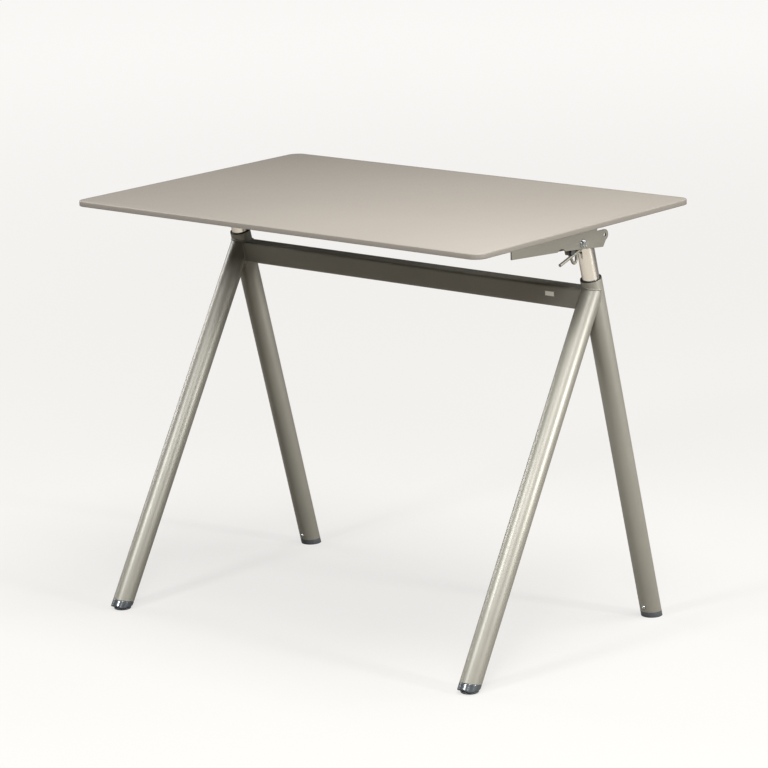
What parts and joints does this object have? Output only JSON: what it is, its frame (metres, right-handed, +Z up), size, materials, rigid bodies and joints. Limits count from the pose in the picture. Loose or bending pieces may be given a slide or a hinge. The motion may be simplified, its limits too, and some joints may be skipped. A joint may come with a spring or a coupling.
{
  "type": "drafting table",
  "caption": "Height-adjustable drafting table: rounded rectangular tilting top on two telescopic side frames with splayed tube legs, joined by a cross beam.",
  "frame": {"origin": "on the floor, under the middle of the table top (the bounding box's bottom centre)", "axes": "+X along the cross beam, towards the side with the release lever (the right hand of a person sitting at the table); +Y to the rear, away from the user; +Z up"},
  "size_m": [1, 0.6511, 0.82],
  "materials": {
    "laminate_top": "warm grey laminate with a fine matt texture",
    "frame_paint": "satin metallic grey powder coat with an olive tint",
    "chrome_tube": "polished chrome plating",
    "black_plastic": "black moulded plastic",
    "cap_grey": "half-gloss slate grey moulded plastic",
    "zinc": "bright zinc plated steel",
    "spring_body": "black enamel",
    "label": "blank printed film"
  },
  "bodies": {
    "frame": {"column_right": "frame_paint", "column_left": "frame_paint", "front_leg_right": "frame_paint", "front_leg_left": "frame_paint", "cross_beam": "frame_paint", "beam_label": "label", "guide_bush_right": "black_plastic", "guide_bush_left": "black_plastic", "spring_cylinder_right": "spring_body", "spring_cylinder_left": "spring_body", "rear_foot_right": "black_plastic", "rear_foot_left": "black_plastic", "rear_foot_screws": "zinc", "front_cap_right": "cap_grey", "front_cap_left": "cap_grey", "foot_nuts": "zinc"},
    "lift": {"sliding_tube_right": "chrome_tube", "sliding_tube_left": "chrome_tube", "slide_shoe_right": "black_plastic", "slide_shoe_left": "black_plastic", "head_right": "frame_paint", "head_left": "frame_paint", "tube_plug_right": "black_plastic", "tube_plug_left": "black_plastic", "spring_rod_right": "zinc", "spring_rod_left": "zinc", "lever_guide": "frame_paint", "lever_pin": "zinc"},
    "lever": {"release_lever": "frame_paint", "lever_hub": "black_plastic"},
    "release_pin": {"release_pin": "zinc"},
    "top": {"tabletop": "laminate_top", "tilt_bracket_right": "frame_paint", "tilt_bracket_left": "frame_paint", "bracket_screws": "zinc", "pivot_bolt_right": "zinc", "pivot_bolt_left": "zinc", "pivot_nut_right": "zinc", "pivot_nut_left": "zinc", "pivot_washers": "zinc"},
    "glide_right": {"glide_right": "black_plastic"},
    "glide_left": {"glide_left": "black_plastic"}
  },
  "joints": [
    {"name": "lift_slide", "type": "slide", "parent": "frame", "child": "lift", "axis": [0, -0.2557, 0.9668], "range_m": [-0.045, 0.35]},
    {"name": "top_tilt", "type": "hinge", "parent": "lift", "child": "top", "pos_m": [0, 0.031, 0.777], "axis": [1, 0, 0], "range_deg": [0, 16]},
    {"name": "release_lever", "type": "hinge", "parent": "lift", "child": "lever", "pos_m": [0.447, 0.0164, 0.7615], "axis": [-1, 0, 0], "range_deg": [0, 5], "stiffness_Nm_per_rad": 1.5, "springref_deg": -11.46},
    {"name": "release_pin_press", "type": "slide", "parent": "lift", "child": "release_pin", "axis": [0, 0.2557, -0.9668], "range_m": [0, 0.0048]},
    {"name": "glide_right_level", "type": "slide", "parent": "frame", "child": "glide_right", "axis": [0, 0, 1], "range_m": [-0.01, 0]},
    {"name": "glide_left_level", "type": "slide", "parent": "frame", "child": "glide_left", "axis": [0, 0, 1], "range_m": [-0.01, 0]}
  ],
  "couplings": [
    {"joint": "release_pin_press", "follows": "release_lever", "m_per_rad": 0.053}
  ]
}
